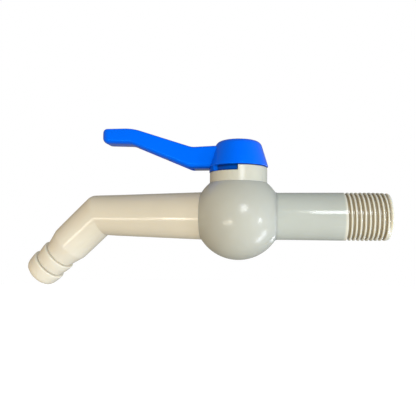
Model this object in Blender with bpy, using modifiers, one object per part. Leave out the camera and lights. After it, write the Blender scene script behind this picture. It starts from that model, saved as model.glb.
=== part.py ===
"""Plastic ball valve tap: threaded inlet, ball housing, bent hose spout and a lever handle.

Units are metres, +Z is up along the stem, and the origin is the centre of the inlet's
threaded end. The water comes in at the origin and runs towards -X.
"""

import math

import bmesh
import bpy
from mathutils import Vector

# ---------------------------------------------------------------- driving dimensions
MM = 0.001
GAP = 0.3 * MM                  # clearance between touching pieces

# ---------------------------------------------------------------- inlet and its pipe thread
INLET_REACH = 64.6 * MM         # ball centre to the inlet's end
TUBE_R = 10.4775 * MM           # R 1/2 pipe thread, major diameter 20.955 mm
THREAD_PITCH = 1.814 * MM       # R 1/2, 14 threads per inch
THREAD_DEPTH = 0.95 * MM
THREAD_START = 45.61 * MM       # from the ball centre
GAUGE_LENGTH = 8.2 * MM         # full diameter is reached this far from the inlet's end
INLET_BORE_R = 7.4 * MM
NOSE_R = 8.9 * MM               # flat face at the inlet's end

# ---------------------------------------------------------------- housing and valve body
HOUSING_R = 19.7 * MM
BARREL_R = 13.0 * MM
BARREL_HALF = 11.0 * MM
CAVITY_R = 11.4 * MM            # the barrel's bore, round the ball
GASKET_SPACE = 1.4 * MM         # from the barrel's end to the flange
FLANGE_R = 12.0 * MM
FLANGE_IN = BARREL_HALF + GASKET_SPACE
FLANGE_OUT = FLANGE_IN + 1.5 * MM
SPIGOT_R = CAVITY_R - GAP
SPIGOT_END = 6.6 * MM           # from the ball centre
POCKET_R = 9.6 * MM             # pocket for the seat, in each spigot
POCKET_END = 12.75 * MM
NECK_R = 12.95 * MM
NECK_LOW_Z = 19.3 * MM          # rim where the handle's tab travels
NECK_HIGH_Z = 21.7 * MM         # rim of the stop
STOP_X = 0.6 * MM               # plane of the two stop faces
TOWER_FOOT_Z = 11.0 * MM
RIM_WALL_R = 10.9 * MM          # inside of the neck's rim
RIM_FLOOR_Z = 16.6 * MM
GLAND_R = 7.6 * MM              # gland round the stem, inside the neck
GLAND_TOP_Z = 19.0 * MM
PACKING_R = 5.6 * MM
PACKING_TOP_Z = 14.6 * MM       # top of the pocket for the stem's thrust washer

# ---------------------------------------------------------------- spout and nozzle
SPOUT_ROOT_R = 10.77 * MM       # spout tube where it leaves the housing
SPOUT_BEND_R = 9.25 * MM        # spout tube at the bend
SPOUT_BORE_R = 6.8 * MM
SPOUT_PARALLEL = 17 * MM        # ball centre to where the taper starts
BEND_REACH = 65.2 * MM          # ball centre to the bend
BEND_DROP_DEG = 42.4            # nozzle axis below the horizontal
NOZZLE_TWIST_DEG = 8.0          # nozzle plane about the pipe axis, away from -Y
NOZZLE_LENGTH = 42.4 * MM
NOZZLE_BORE_R = 5.6 * MM
NOZZLE_ROOT_R = 6.9 * MM        # nozzle between its barbs

# ---------------------------------------------------------------- ball, seats and stem
BALL_R = 11.0 * MM
BALL_BORE_R = 6.0 * MM
SEAT_LIP_R = 8.6 * MM
SEAT_BACK = 10.75 * MM          # from the ball centre
STEM_R = 4.2 * MM
STEM_BORE_R = STEM_R + GAP
TANG_HALF_X = 1.5 * MM
TANG_HALF_Y = 4.5 * MM
TANG_FOOT_Z = 7.9 * MM
COLLAR_LOW_Z = 11.7 * MM
COLLAR_HIGH_Z = 13.2 * MM
SHAFT_TOP_Z = 19.6 * MM
SQUARE_HALF = 3.0 * MM
SQUARE_TOP_Z = 26.5 * MM
GROOVE_R = 2.6 * MM
GROOVE_HALF = 0.95 * MM
O_RING_Z = (15.7 * MM, 18.0 * MM)

# ---------------------------------------------------------------- handle and its fixing
HUB_BASE_Z = 22.0 * MM
HUB_BASE_R = 13.35 * MM
HUB_TOP_Z = 33.7 * MM
HUB_SLOPE = 0.325               # radius lost per unit of height
HUB_FILLET = 3.2 * MM
HUB_ROOF_Z = 31.0 * MM
BOSS_R = 7.6 * MM
BOSS_FOOT_Z = 20.6 * MM
WEB_LOW_Z = SQUARE_TOP_Z + GAP
WEB_HIGH_Z = 28.6 * MM
WELL_R = 6.0 * MM
TAB_OUT_R = 11.5 * MM           # stop tab, recessed behind the hub's rim
TAB_END_R = 13.2 * MM           # its thicker end below the lever
TAB_END_Y = -8.0 * MM
LEVER_WIDTH = 11.0 * MM
LEVER_TIP_X = -63.5 * MM        # from the stem axis
LEVER_WALL = 2.2 * MM
POCKET_HALF_Y = 2.7 * MM        # half the width of a pocket in the lever's underside
SCREW_SHANK_R = 1.5 * MM
SCREW_HOLE_R = SCREW_SHANK_R + 0.4 * MM

# ---------------------------------------------------------------- roundness
ROUND_STEPS = 32
FINE_STEPS = 24                 # for small turned pieces
NECK_STEPS = 48
THREAD_STEPS = 30               # for each turn of the thread

BALL_CENTRE = Vector((-INLET_REACH, 0.0, 0.0))
ALONG_PIPE = (0.0, math.pi / 2, 0.0)      # turns a piece's own Z onto +X
UPRIGHT = (0.0, 0.0, 0.0)
FAR = 30 * MM                   # beyond every surface, for cutters that run right through

IVORY = ("ivory_pp", (0.66, 0.60, 0.47), 0.38, 0.0)
HOUSING_GREY = ("housing_grey_pp", (0.52, 0.50, 0.43), 0.32, 0.0)
PIPE_GREY = ("pipe_grey_pp", (0.58, 0.58, 0.52), 0.36, 0.0)
BLUE = ("handle_blue_abs", (0.0, 0.15, 0.90), 0.30, 0.0)
WHITE_PLASTIC = ("ball_white_pp", (0.80, 0.80, 0.78), 0.25, 0.0)
ACETAL = ("stem_acetal", (0.75, 0.74, 0.70), 0.35, 0.0)
SEAT_PTFE = ("seat_ptfe", (0.86, 0.86, 0.84), 0.45, 0.0)
BLACK_RUBBER = ("seal_rubber", (0.02, 0.02, 0.02), 0.60, 0.0)
STEEL = ("screw_steel", (0.60, 0.60, 0.62), 0.30, 1.0)


# ---------------------------------------------------------------- helpers
def clear_scene():
    for item in list(bpy.data.objects):
        bpy.data.objects.remove(item, do_unlink=True)


def make_collection(name):
    collection = bpy.data.collections.new(name)
    bpy.context.scene.collection.children.link(collection)
    return collection


def make_material(spec):
    name, colour, roughness, metallic = spec
    material = bpy.data.materials.get(name)
    if material is None:
        material = bpy.data.materials.new(name)
        material.use_nodes = True
        shader = material.node_tree.nodes["Principled BSDF"]
        shader.inputs["Base Color"].default_value = (*colour, 1.0)
        shader.inputs["Roughness"].default_value = roughness
        shader.inputs["Metallic"].default_value = metallic
    return material


def place(obj, spec=None, location=BALL_CENTRE, rotation=UPRIGHT):
    """Put an object in the parts collection, or among the cutters when it has no material."""
    obj.location = location
    obj.rotation_euler = rotation
    if spec is None:
        CUTTERS.objects.link(obj)
        obj.hide_render = True
        obj.display_type = "WIRE"
    else:
        PARTS.objects.link(obj)
        obj.data.materials.append(make_material(spec))
    return obj


def turned(name, profile, spec=None, steps=ROUND_STEPS, location=BALL_CENTRE, rotation=UPRIGHT):
    """Solid of revolution about the object's own Z.

    The profile is a list of (radius, height) that runs down the outer side. It starts and
    ends on the axis for a solid piece, and is closed into a loop for a ring.
    """
    mesh = bpy.data.meshes.new(name)
    edges = [(i, i + 1) for i in range(len(profile) - 1)]
    if profile[0][0] > 0.0:
        edges.append((len(profile) - 1, 0))
    mesh.from_pydata([(radius, 0.0, height) for radius, height in profile], edges, [])
    obj = place(bpy.data.objects.new(name, mesh), spec, location, rotation)
    screw = obj.modifiers.new("turn", "SCREW")
    screw.axis = "Z"
    screw.angle = 2 * math.pi
    screw.steps = steps
    screw.render_steps = steps
    screw.use_smooth_shade = True
    screw.use_merge_vertices = True
    screw.merge_threshold = 0.00001
    return obj


def box(name, low, high, location=BALL_CENTRE):
    """Box between two corners measured from the location, kept as a cutter."""
    mesh = bpy.data.meshes.new(name)
    shape = bmesh.new()
    bmesh.ops.create_cube(shape, size=1.0)
    size = [b - a for a, b in zip(low, high)]
    middle = [(a + b) / 2 for a, b in zip(low, high)]
    bmesh.ops.scale(shape, vec=size, verts=shape.verts)
    bmesh.ops.translate(shape, vec=middle, verts=shape.verts)
    shape.to_mesh(mesh)
    shape.free()
    return place(bpy.data.objects.new(name, mesh), None, location)


def combine(target, other, operation):
    modifier = target.modifiers.new(other.name, "BOOLEAN")
    modifier.operation = operation
    modifier.solver = "EXACT"
    modifier.object = other
    return target


def baked(obj, name, spec=None):
    """Replace an object by a plain mesh of itself, with its loose joints welded."""
    bpy.context.view_layer.update()
    depsgraph = bpy.context.evaluated_depsgraph_get()
    mesh = bpy.data.meshes.new_from_object(obj.evaluated_get(depsgraph))
    shape = bmesh.new()
    shape.from_mesh(mesh)
    bmesh.ops.remove_doubles(shape, verts=shape.verts, dist=0.000001)
    rims = [edge for edge in shape.edges if edge.is_boundary]
    if rims:
        bmesh.ops.holes_fill(shape, edges=rims, sides=0)
    shape.to_mesh(mesh)
    shape.free()
    location, rotation = obj.location.copy(), obj.rotation_euler.copy()
    bpy.data.objects.remove(obj, do_unlink=True)
    return place(bpy.data.objects.new(name, mesh), spec, location, rotation)


def arc(centre, radius, start_deg, end_deg, count):
    """Points of an arc in the (radius, height) plane, both ends included."""
    points = []
    for i in range(count + 1):
        angle = math.radians(start_deg + (end_deg - start_deg) * i / count)
        points.append((centre[0] + radius * math.cos(angle), centre[1] + radius * math.sin(angle)))
    return points


def rounded_outline(corners, steps=4):
    """Closed outline through corners given as (x, z, corner radius)."""
    outline = []
    for i, (x, z, radius) in enumerate(corners):
        here = Vector((x, z))
        before = Vector(corners[i - 1][:2]) - here
        after = Vector(corners[(i + 1) % len(corners)][:2]) - here
        if radius == 0.0:
            outline.append(here)
            continue
        half = before.angle(after) / 2
        middle = here + (before.normalized() + after.normalized()).normalized() * radius / math.sin(half)
        first = here + before.normalized() * radius / math.tan(half) - middle
        last = here + after.normalized() * radius / math.tan(half) - middle
        sweep = first.angle_signed(last)
        for k in range(steps + 1):
            angle = -sweep * k / steps
            spun = Vector((first.x * math.cos(angle) - first.y * math.sin(angle),
                           first.x * math.sin(angle) + first.y * math.cos(angle)))
            outline.append(middle + spun)
    return outline


def slab(name, outline, half_thickness, rotation):
    """Flat outline made a slab; the outline is in the curve's own XY plane."""
    curve = bpy.data.curves.new(name, "CURVE")
    curve.dimensions = "2D"
    curve.fill_mode = "BOTH"
    curve.extrude = half_thickness
    spline = curve.splines.new("POLY")
    spline.points.add(len(outline) - 1)
    for point, spot in zip(spline.points, outline):
        point.co = (spot[0], spot[1], 0.0, 1.0)
    spline.use_cyclic_u = True
    obj = bpy.data.objects.new(name + "_curve", curve)
    bpy.context.scene.collection.objects.link(obj)
    obj.location = BALL_CENTRE
    obj.rotation_euler = rotation
    return baked(obj, name)


# ---------------------------------------------------------------- casing pieces
def ball_housing():
    """Round housing moulded over the valve body, open for the two tubes and the neck."""
    inlet_hole = TUBE_R + GAP
    spout_hole = SPOUT_ROOT_R + GAP
    start = math.degrees(math.acos(inlet_hole / HOUSING_R))
    end = -math.degrees(math.acos(spout_hole / HOUSING_R))
    shell = arc((0.0, 0.0), HOUSING_R, start, end, 16)
    barrel = BARREL_R + GAP
    flange = FLANGE_R + GAP
    end_wall = FLANGE_OUT + GAP
    cavity = [(spout_hole, -end_wall), (flange, -end_wall), (flange, -FLANGE_IN), (barrel, -FLANGE_IN),
              (barrel, FLANGE_IN), (flange, FLANGE_IN), (flange, end_wall), (inlet_hole, end_wall)]
    housing = turned("ball_housing", shell + cavity, HOUSING_GREY, 40, rotation=ALONG_PIPE)
    neck_hole = turned("neck_hole", [(0.0, FAR), (NECK_R + GAP, FAR),
                                     (NECK_R + GAP, TOWER_FOOT_Z - GAP), (0.0, TOWER_FOOT_Z - GAP)])
    return combine(housing, neck_hole, "DIFFERENCE")


def valve_body():
    """Barrel round the ball with the neck standing on it, and the stops on the neck's rim."""
    body = turned("valve_body", [(0.0, BARREL_HALF), (BARREL_R, BARREL_HALF), (BARREL_R, -BARREL_HALF),
                                 (0.0, -BARREL_HALF)], IVORY, rotation=ALONG_PIPE)
    tower = turned("tower", [(0.0, NECK_HIGH_Z), (NECK_R, NECK_HIGH_Z), (NECK_R, TOWER_FOOT_Z),
                             (0.0, TOWER_FOOT_Z)], steps=NECK_STEPS)
    combine(tower, box("stop_cut", (-FAR, -FAR, NECK_LOW_Z), (STOP_X, FAR, FAR)), "DIFFERENCE")
    for side in (1, -1):
        ends = sorted((side * BARREL_HALF, side * FAR), reverse=True)
        beside_barrel = BARREL_R + 0.1 * MM
        clear = turned("end_clearance", [(0.0, ends[0]), (beside_barrel, ends[0]), (beside_barrel, ends[1]),
                                         (0.0, ends[1])], rotation=ALONG_PIPE)
        combine(tower, clear, "DIFFERENCE")
    combine(body, tower, "UNION")
    bore = turned("barrel_bore", [(0.0, FAR), (CAVITY_R, FAR), (CAVITY_R, -FAR), (0.0, -FAR)],
                  rotation=ALONG_PIPE)
    combine(body, bore, "DIFFERENCE")
    stem_way = turned("stem_way", [(0.0, FAR), (RIM_WALL_R, FAR), (RIM_WALL_R, RIM_FLOOR_Z),
                                   (GLAND_R, RIM_FLOOR_Z), (GLAND_R, GLAND_TOP_Z), (STEM_BORE_R, GLAND_TOP_Z),
                                   (STEM_BORE_R, PACKING_TOP_Z), (PACKING_R, PACKING_TOP_Z),
                                   (PACKING_R, 8 * MM), (0.0, 8 * MM)])
    return combine(body, stem_way, "DIFFERENCE")


def inlet_connector():
    """Inlet tube with its pipe thread; the inner end is the spigot that holds a seat."""
    end = INLET_REACH
    root = TUBE_R - THREAD_DEPTH
    below_root = root - 0.05 * MM
    profile = [(INLET_BORE_R, end), (NOSE_R, end), (below_root, end - 0.6 * MM), (below_root, end - 1.0 * MM),
               (TUBE_R - 0.2 * MM, end - 1.9 * MM), (TUBE_R, end - GAUGE_LENGTH), (TUBE_R, FLANGE_OUT),
               (FLANGE_R, FLANGE_OUT), (FLANGE_R, FLANGE_IN), (SPIGOT_R, FLANGE_IN),
               (SPIGOT_R, SPIGOT_END), (POCKET_R, SPIGOT_END), (POCKET_R, POCKET_END),
               (INLET_BORE_R, POCKET_END)]
    inlet = turned("inlet_connector", profile, PIPE_GREY, rotation=ALONG_PIPE)
    return combine(inlet, thread_groove(), "DIFFERENCE")


def thread_groove():
    """Helical groove of the right-hand pipe thread, running out past the tube's end."""
    outside = TUBE_R + 0.3 * MM
    root = TUBE_R - THREAD_DEPTH
    outline = [(outside, 0.80 * MM), (outside, -0.80 * MM), (root, -0.22 * MM), (root, 0.22 * MM)]
    mesh = bpy.data.meshes.new("thread_sweep")
    edges = [(0, 1), (1, 2), (2, 3), (3, 0)]
    mesh.from_pydata([(radius, 0.0, height) for radius, height in outline], edges, [])
    sweep = place(bpy.data.objects.new("thread_sweep", mesh),
                  location=BALL_CENTRE + Vector((THREAD_START, 0.0, 0.0)), rotation=ALONG_PIPE)
    screw = sweep.modifiers.new("helix", "SCREW")
    screw.axis = "Z"
    screw.angle = 2 * math.pi
    screw.screw_offset = THREAD_PITCH
    screw.iterations = math.ceil((INLET_REACH - THREAD_START) / THREAD_PITCH) + 1
    screw.steps = THREAD_STEPS
    screw.render_steps = THREAD_STEPS
    return baked(sweep, "thread_groove")


def nozzle_direction():
    drop = math.radians(BEND_DROP_DEG)
    twist = math.radians(NOZZLE_TWIST_DEG)
    return Vector((-math.cos(drop), math.sin(twist) * math.sin(drop), -math.cos(twist) * math.sin(drop)))


def barb(rim_s, rim_r, foot_s, foot_r):
    """Profile of one hose barb from its thin end back to its sharp rim, which faces the valve."""
    points = []
    for i in range(4):
        t = i / 3
        points.append((foot_r + (rim_r - foot_r) * math.sin(t * math.pi / 2), foot_s + (rim_s - foot_s) * t))
    return points


def outlet_spout():
    """Tapered spout tube, its rounded bend and the barbed hose nozzle, moulded in one."""
    bend = BALL_CENTRE + Vector((-BEND_REACH, 0.0, 0.0))
    aim = nozzle_direction().to_track_quat("Z", "Y").to_euler()
    tube = [(0.0, -SPIGOT_END), (SPIGOT_R, -SPIGOT_END), (SPIGOT_R, -FLANGE_IN), (FLANGE_R, -FLANGE_IN),
            (FLANGE_R, -FLANGE_OUT), (SPOUT_ROOT_R, -FLANGE_OUT), (SPOUT_ROOT_R, -SPOUT_PARALLEL),
            (SPOUT_BEND_R, -BEND_REACH), (0.0, -BEND_REACH)]
    spout = turned("outlet_spout", tube, IVORY, rotation=ALONG_PIPE)

    elbow = turned("elbow", [(0.0, SPOUT_BEND_R)] + arc((0.0, 0.0), SPOUT_BEND_R, 80, -80, 13)
                   + [(0.0, -SPOUT_BEND_R)], location=bend, rotation=ALONG_PIPE)
    length = NOZZLE_LENGTH
    nozzle = [(0.0, length), (6.7 * MM, length), (7.4 * MM, length - 0.5 * MM)]
    nozzle += barb(35.3 * MM, 8.45 * MM, 41.0 * MM, 7.9 * MM)
    nozzle += [(NOZZLE_ROOT_R, 35.25 * MM), (NOZZLE_ROOT_R, 34.95 * MM)]
    nozzle += barb(28.4 * MM, 8.3 * MM, 34.9 * MM, 7.3 * MM)
    nozzle += [(NOZZLE_ROOT_R, 28.35 * MM), (NOZZLE_ROOT_R, 28.0 * MM), (7.3 * MM, 27.9 * MM),
               (SPOUT_BEND_R - 0.15 * MM, 20.3 * MM),
               (SPOUT_BEND_R - 0.02 * MM, 18.6 * MM), (SPOUT_BEND_R - 0.02 * MM, 0.5 * MM), (0.0, 0.5 * MM)]
    barrel = turned("nozzle_outside", nozzle, location=bend, rotation=aim)
    combine(spout, elbow, "UNION")
    combine(spout, barrel, "UNION")

    pocket = [(0.0, -4 * MM), (POCKET_R, -4 * MM), (POCKET_R, -POCKET_END), (SPOUT_BORE_R, -POCKET_END),
              (SPOUT_BORE_R, -BEND_REACH), (0.0, -BEND_REACH)]
    water_way = turned("water_way", pocket, rotation=ALONG_PIPE)
    turn = turned("bend_bore", [(0.0, SPOUT_BORE_R)] + arc((0.0, 0.0), SPOUT_BORE_R, 80, -80, 13)
                  + [(0.0, -SPOUT_BORE_R)], location=bend, rotation=ALONG_PIPE)
    combine(water_way, turn, "UNION")
    way_out = [(0.0, length + 2 * MM), (NOZZLE_BORE_R, length + 2 * MM), (NOZZLE_BORE_R, 22 * MM),
               (SPOUT_BORE_R - 0.05 * MM, 14 * MM), (SPOUT_BORE_R - 0.05 * MM, 0.5 * MM), (0.0, 0.5 * MM)]
    combine(water_way, turned("nozzle_bore", way_out, location=bend, rotation=aim), "UNION")
    return combine(spout, water_way, "DIFFERENCE")


# ---------------------------------------------------------------- ball and its seals
def ball():
    """Bored ball, with the slot across its top that the stem's tang turns."""
    half = math.sqrt(BALL_R ** 2 - BALL_BORE_R ** 2)
    reach = math.degrees(math.atan2(half, BALL_BORE_R))
    piece = turned("ball", arc((0.0, 0.0), BALL_R, reach, -reach, 12), WHITE_PLASTIC, rotation=ALONG_PIPE)
    slot = box("ball_slot", (-TANG_HALF_X - GAP, -15 * MM, TANG_FOOT_Z - GAP),
               (TANG_HALF_X + GAP, 15 * MM, 15 * MM))
    return combine(piece, slot, "DIFFERENCE")


def seat(name, side):
    """Seat ring: its front follows the ball, and it faces the ball centre."""
    touch = BALL_R + GAP
    bore_r = BALL_BORE_R + 0.2 * MM
    rim_r = POCKET_R - GAP
    inner, outer = [math.asin(radius / touch) for radius in (bore_r, SEAT_LIP_R)]
    angles = [inner + (outer - inner) * i / 3 for i in range(4)]
    front = [(touch * math.sin(angle), touch * math.cos(angle)) for angle in angles]
    loop = [(bore_r, SEAT_BACK), (rim_r, SEAT_BACK), (rim_r, front[-1][1])] + front[::-1]
    if side < 0:
        loop = [(radius, -height) for radius, height in reversed(loop)]
    return turned(name, loop, SEAT_PTFE, FINE_STEPS, rotation=ALONG_PIPE)


def o_ring(name, ring_r, thickness_r, along, rotation):
    section = arc((ring_r, along), thickness_r, 0, -360, 8)[:-1]
    return turned(name, section, BLACK_RUBBER, FINE_STEPS, rotation=rotation)


def flat_ring(name, inner, outer, low, high, spec, rotation=UPRIGHT, steps=FINE_STEPS):
    loop = [(inner, high), (outer, high), (outer, low), (inner, low)]
    return turned(name, loop, spec, steps, rotation=rotation)


def seals():
    for side, end in ((1, "inlet"), (-1, "outlet")):
        seat("seat_" + end, side)
        o_ring("seat_o_ring_" + end, 8.0 * MM, 0.7 * MM, side * 11.75 * MM, ALONG_PIPE)
        near = side * (BARREL_HALF + GAP)
        far = side * (FLANGE_IN - GAP)
        flat_ring("body_gasket_" + end, SPIGOT_R + GAP, BARREL_R - 0.2 * MM, min(near, far), max(near, far),
                  BLACK_RUBBER, ALONG_PIPE, ROUND_STEPS)


# ---------------------------------------------------------------- stem and its seals
def stem():
    """Stem with a tang that drives the ball, a collar that can't blow out and a square top."""
    profile = [(0.0, SHAFT_TOP_Z), (STEM_R, SHAFT_TOP_Z)]
    for height in reversed(O_RING_Z):
        profile += [(STEM_R, height + GROOVE_HALF), (GROOVE_R, height + GROOVE_HALF),
                    (GROOVE_R, height - GROOVE_HALF), (STEM_R, height - GROOVE_HALF)]
    profile += [(STEM_R, COLLAR_HIGH_Z), (PACKING_R - GAP, COLLAR_HIGH_Z), (PACKING_R - GAP, COLLAR_LOW_Z),
                (0.0, COLLAR_LOW_Z)]
    piece = turned("stem", profile, ACETAL, FINE_STEPS)
    square = box("stem_square", (-SQUARE_HALF, -SQUARE_HALF, SHAFT_TOP_Z - 0.5 * MM),
                 (SQUARE_HALF, SQUARE_HALF, SQUARE_TOP_Z))
    tang = box("stem_tang", (-TANG_HALF_X, -TANG_HALF_Y, TANG_FOOT_Z),
               (TANG_HALF_X, TANG_HALF_Y, COLLAR_LOW_Z + 0.5 * MM))
    combine(piece, square, "UNION")
    combine(piece, tang, "UNION")
    pilot = turned("screw_pilot", [(0.0, FAR), (SCREW_SHANK_R + GAP, FAR),
                                   (SCREW_SHANK_R + GAP, SHAFT_TOP_Z), (0.0, SHAFT_TOP_Z)], steps=FINE_STEPS)
    return combine(piece, pilot, "DIFFERENCE")


def stem_seals():
    for label, height in zip(("lower", "upper"), O_RING_Z):
        o_ring("stem_o_ring_" + label, 3.55 * MM, 0.65 * MM, height, UPRIGHT)
    flat_ring("stem_thrust_washer", STEM_R + GAP, PACKING_R - GAP, COLLAR_HIGH_Z + GAP,
              PACKING_TOP_Z - GAP, SEAT_PTFE)
    flat_ring("stem_dust_seal", STEM_R + 0.4 * MM, 7.0 * MM, GLAND_TOP_Z + GAP, 20.3 * MM, BLACK_RUBBER)


# ---------------------------------------------------------------- hub, lever and screw
def hub_radius(height):
    return HUB_BASE_R - HUB_SLOPE * (height - HUB_BASE_Z)


def lever_outline():
    """Side view of the lever, in the hub's own X and Z, with the radius of each corner."""
    tip = LEVER_TIP_X
    return rounded_outline([
        (tip, 40.05 * MM, 2.4 * MM), (-48.7 * MM, 40.05 * MM, 25 * MM), (-20.9 * MM, 30.95 * MM, 8 * MM),
        (-9.0 * MM, 31.4 * MM, 0.0), (-9.0 * MM, 21.15 * MM, 0.0), (-21.5 * MM, 21.15 * MM, 4 * MM),
        (-49.5 * MM, 32.85 * MM, 7 * MM), (tip, 33.4 * MM, 2.8 * MM)])


def top_height(outline, x):
    """Height of the lever's top at x, read along the outline."""
    best = None
    for first, second in zip(outline, outline[1:]):
        if min(first.x, second.x) <= x <= max(first.x, second.x) and first.x != second.x:
            t = (x - first.x) / (second.x - first.x)
            height = first.y + (second.y - first.y) * t
            best = height if best is None else max(best, height)
    return best


def lever():
    """Solid lever with its plan rounded at the tip and two pockets moulded into its underside."""
    on_edge = (math.pi / 2, 0.0, 0.0)
    outline = lever_outline()
    half = LEVER_WIDTH / 2
    bar = slab("lever_bar", outline, half, on_edge)
    plan = rounded_outline([(LEVER_TIP_X, half, 3.5 * MM), (0.0, half, 0.0), (0.0, -half, 0.0),
                            (LEVER_TIP_X, -half, 3.5 * MM)])
    plan_slab = slab("lever_plan", plan, 60 * MM, UPRIGHT)
    combine(bar, plan_slab, "INTERSECT")
    rounding = bar.modifiers.new("rounding", "BEVEL")
    rounding.width = 1.0 * MM
    rounding.segments = 2
    rounding.limit_method = "ANGLE"
    rounding.angle_limit = math.radians(50)
    for start, stop in ((-46.5 * MM, -34.2 * MM), (-32.4 * MM, -20.0 * MM)):
        spots = [start + (stop - start) * i / 4 for i in range(5)]
        roof = [Vector((x, top_height(outline, x) - LEVER_WALL - GAP)) for x in spots]
        pocket = roof + [Vector((stop, 10 * MM)), Vector((start, 10 * MM))]
        combine(bar, slab("lever_pocket", pocket, POCKET_HALF_Y, on_edge), "DIFFERENCE")
    sweep_room = turned("neck_sweep_room", [(0.0, HUB_BASE_Z), (HUB_BASE_R, HUB_BASE_Z),
                                            (HUB_BASE_R, 10 * MM), (0.0, 10 * MM)])
    return combine(bar, sweep_room, "DIFFERENCE")


def handle():
    """Hollow hub with the lever and the stop tab, moulded in one."""
    crown = HUB_TOP_Z - HUB_FILLET
    lean = math.degrees(math.atan(HUB_SLOPE))
    corner_r = hub_radius(crown) - HUB_FILLET * math.cos(math.radians(lean))
    corner = arc((corner_r, crown), HUB_FILLET, 90, lean, 5)
    wall_r = hub_radius(HUB_BASE_Z) - LEVER_WALL
    profile = [(WELL_R, HUB_TOP_Z)] + corner
    profile += [(HUB_BASE_R, HUB_BASE_Z), (wall_r, HUB_BASE_Z),
                (wall_r - HUB_SLOPE * (HUB_ROOF_Z - HUB_BASE_Z), HUB_ROOF_Z), (BOSS_R, HUB_ROOF_Z),
                (BOSS_R, BOSS_FOOT_Z), (SCREW_HOLE_R, BOSS_FOOT_Z), (SCREW_HOLE_R, WEB_HIGH_Z),
                (WELL_R, WEB_HIGH_Z)]
    piece = turned("handle", profile, BLUE)
    socket = SQUARE_HALF + GAP
    combine(piece, box("stem_socket", (-socket, -socket, 15 * MM), (socket, socket, WEB_LOW_Z)), "DIFFERENCE")
    combine(piece, lever(), "UNION")
    reach = STOP_X - GAP
    for name, outer_r, low_y in (("stop_tab", TAB_OUT_R, -FAR), ("stop_tab_end", TAB_END_R, TAB_END_Y)):
        top, foot = HUB_BASE_Z + GAP, NECK_LOW_Z + GAP
        ring = turned(name, [(RIM_WALL_R, top), (outer_r, top), (outer_r, foot), (RIM_WALL_R, foot)])
        combine(ring, box(name + "_room", (-FAR, low_y, 10 * MM), (reach, reach, FAR)), "INTERSECT")
        combine(piece, ring, "UNION")
    return piece


def handle_fixing():
    """Screw and washer that hold the handle to the stem, and the cover over them."""
    washer_low = WEB_HIGH_Z + GAP
    washer_high = washer_low + 0.7 * MM
    flat_ring("screw_washer", SCREW_HOLE_R, 4.2 * MM, washer_low, washer_high, STEEL)
    head = washer_high + GAP
    screw = turned("handle_screw", [(0.0, head + 1.9 * MM), (2.4 * MM, head + 1.9 * MM),
                                    (3.2 * MM, head + 1.3 * MM), (3.4 * MM, head), (SCREW_SHANK_R, head),
                                    (SCREW_SHANK_R, 21.2 * MM), (0.0, 20.0 * MM)], STEEL, FINE_STEPS)
    for width, depth in ((0.4 * MM, 2.0 * MM), (2.0 * MM, 0.4 * MM)):
        cross = box("screw_cross", (-width, -depth, head + 0.8 * MM), (width, depth, head + 4 * MM))
        combine(screw, cross, "DIFFERENCE")
    turned("screw_cover", [(0.0, HUB_TOP_Z + 0.15 * MM), (3.0 * MM, HUB_TOP_Z + 0.1 * MM),
                           (5.3 * MM, HUB_TOP_Z - 0.1 * MM), (WELL_R - GAP, HUB_TOP_Z - 0.5 * MM),
                           (WELL_R - GAP, 32.0 * MM), (4.9 * MM, 32.0 * MM), (4.9 * MM, 32.5 * MM),
                           (0.0, 32.5 * MM)], BLUE, FINE_STEPS)


clear_scene()
PARTS = make_collection("ball_valve_tap")
CUTTERS = make_collection("ball_valve_tap_cutters")
ball_housing()
valve_body()
inlet_connector()
outlet_spout()
ball()
seals()
stem()
stem_seals()
handle()
handle_fixing()
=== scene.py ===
"""Plastic ball valve tap: the fine surfaces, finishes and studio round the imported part.

Everything is in metres in the part's own frame. The pipe's axis is the X axis, the stem
stands along +Z at the ball's centre, and the inlet's threaded end is at the origin. Each
piece is drawn about its own axis from the ball's centre, and then put in its place.
"""

import math

import bpy
from bpy.props import FloatProperty, FloatVectorProperty, IntProperty, PointerProperty
from mathutils import Matrix, Vector


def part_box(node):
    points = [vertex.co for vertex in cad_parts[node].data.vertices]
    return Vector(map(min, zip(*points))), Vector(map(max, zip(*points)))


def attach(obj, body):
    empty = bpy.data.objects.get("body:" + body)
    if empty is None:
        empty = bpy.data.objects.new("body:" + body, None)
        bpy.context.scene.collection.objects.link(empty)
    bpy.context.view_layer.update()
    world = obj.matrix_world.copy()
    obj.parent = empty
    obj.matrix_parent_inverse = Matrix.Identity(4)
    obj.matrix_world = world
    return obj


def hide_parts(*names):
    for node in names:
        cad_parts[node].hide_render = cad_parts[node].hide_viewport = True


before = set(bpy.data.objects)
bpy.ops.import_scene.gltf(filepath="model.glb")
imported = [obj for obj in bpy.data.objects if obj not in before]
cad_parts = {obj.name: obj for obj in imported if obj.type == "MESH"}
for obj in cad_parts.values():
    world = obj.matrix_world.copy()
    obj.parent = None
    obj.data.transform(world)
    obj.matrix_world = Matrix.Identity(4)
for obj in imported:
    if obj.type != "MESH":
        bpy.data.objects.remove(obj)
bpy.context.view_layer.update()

bl_info = {
    "name": "Ball valve tap",
    "version": (1, 0, 0),
    "blender": (4, 5, 0),
    "location": "3D View > Sidebar > Ball Valve",
    "description": "Models the fine surfaces and the finishes of a plastic ball valve tap",
    "category": "Object",
}

MM = 0.001
WELD = 0.002 * MM               # points closer than this are one point
HAIRLINE = 0.04 * MM            # gap drawn between two pieces that are pressed together
CLEAR = 0.3 * MM                # gap between two pieces that are not
ASIDE = 20 * MM                 # past the housing's side, for cutters
ABOVE = 30 * MM                 # past the neck's top, for cutters
BELOW_HUB = 10 * MM             # under the hub's base, for cutters
ALONG_PIPE = Matrix.Rotation(math.pi / 2, 4, "Y")      # turns a piece's own Z onto +X

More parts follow.
